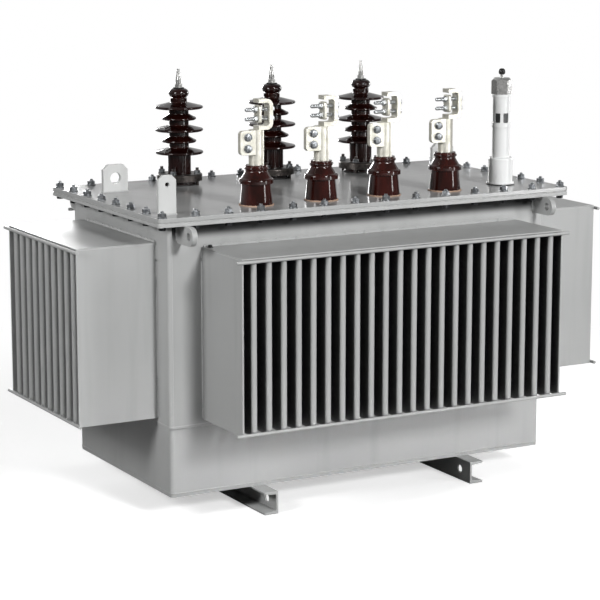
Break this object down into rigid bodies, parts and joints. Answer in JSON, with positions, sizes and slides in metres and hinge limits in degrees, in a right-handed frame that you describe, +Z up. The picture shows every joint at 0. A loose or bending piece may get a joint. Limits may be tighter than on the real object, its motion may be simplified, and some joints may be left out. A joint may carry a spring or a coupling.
{
  "type": "oil-immersed distribution transformer",
  "caption": "Oil-filled power transformer: finned closed tank on skid channels, with ribbed high-voltage bushings, low-voltage bushings with connectors and a level gauge on the lid.",
  "frame": {"origin": "on the ground, under the middle of the tank", "axes": "+X along the tank's length, +Y towards the high-voltage side, +Z up"},
  "size_m": [1.86, 1.216, 1.29],
  "materials": {
    "grey_paint": "satin",
    "porcelain": "gloss",
    "tinned_brass": "satin",
    "zinc_steel": "satin",
    "gasket_rubber": "matte",
    "gauge_white": "satin"
  },
  "bodies": {
    "root": {"skid_left": "grey_paint", "skid_right": "grey_paint", "pan_floor": "grey_paint", "pan_wall": "grey_paint", "step_ledge": "grey_paint", "front_wall": "grey_paint", "back_wall": "grey_paint", "left_wall": "grey_paint", "right_wall": "grey_paint", "front_fins": "grey_paint", "back_fins": "grey_paint", "left_fins": "grey_paint", "right_fins": "grey_paint", "fin_covers": "grey_paint", "tie_rods": "grey_paint", "rim_flange": "grey_paint", "lid_gasket": "gasket_rubber", "lid": "grey_paint", "tank_lugs": "grey_paint", "lid_lug_left": "grey_paint", "lid_lug_right": "grey_paint", "corner_bracket": "grey_paint", "hv_insulator_1": "porcelain", "hv_insulator_2": "porcelain", "hv_insulator_3": "porcelain", "hv_clamp_1": "zinc_steel", "hv_clamp_2": "zinc_steel", "hv_clamp_3": "zinc_steel", "hv_terminal_1": "zinc_steel", "hv_terminal_2": "zinc_steel", "hv_terminal_3": "zinc_steel", "lv_insulator_1": "porcelain", "lv_insulator_2": "porcelain", "lv_insulator_3": "porcelain", "lv_insulator_4": "porcelain", "lv_connector_1": "tinned_brass", "lv_connector_2": "tinned_brass", "lv_connector_3": "tinned_brass", "lv_connector_4": "tinned_brass", "gauge_foot": "gauge_white", "gauge_tube": "gauge_white", "gauge_cap": "zinc_steel"}
  },
  "joints": []
}
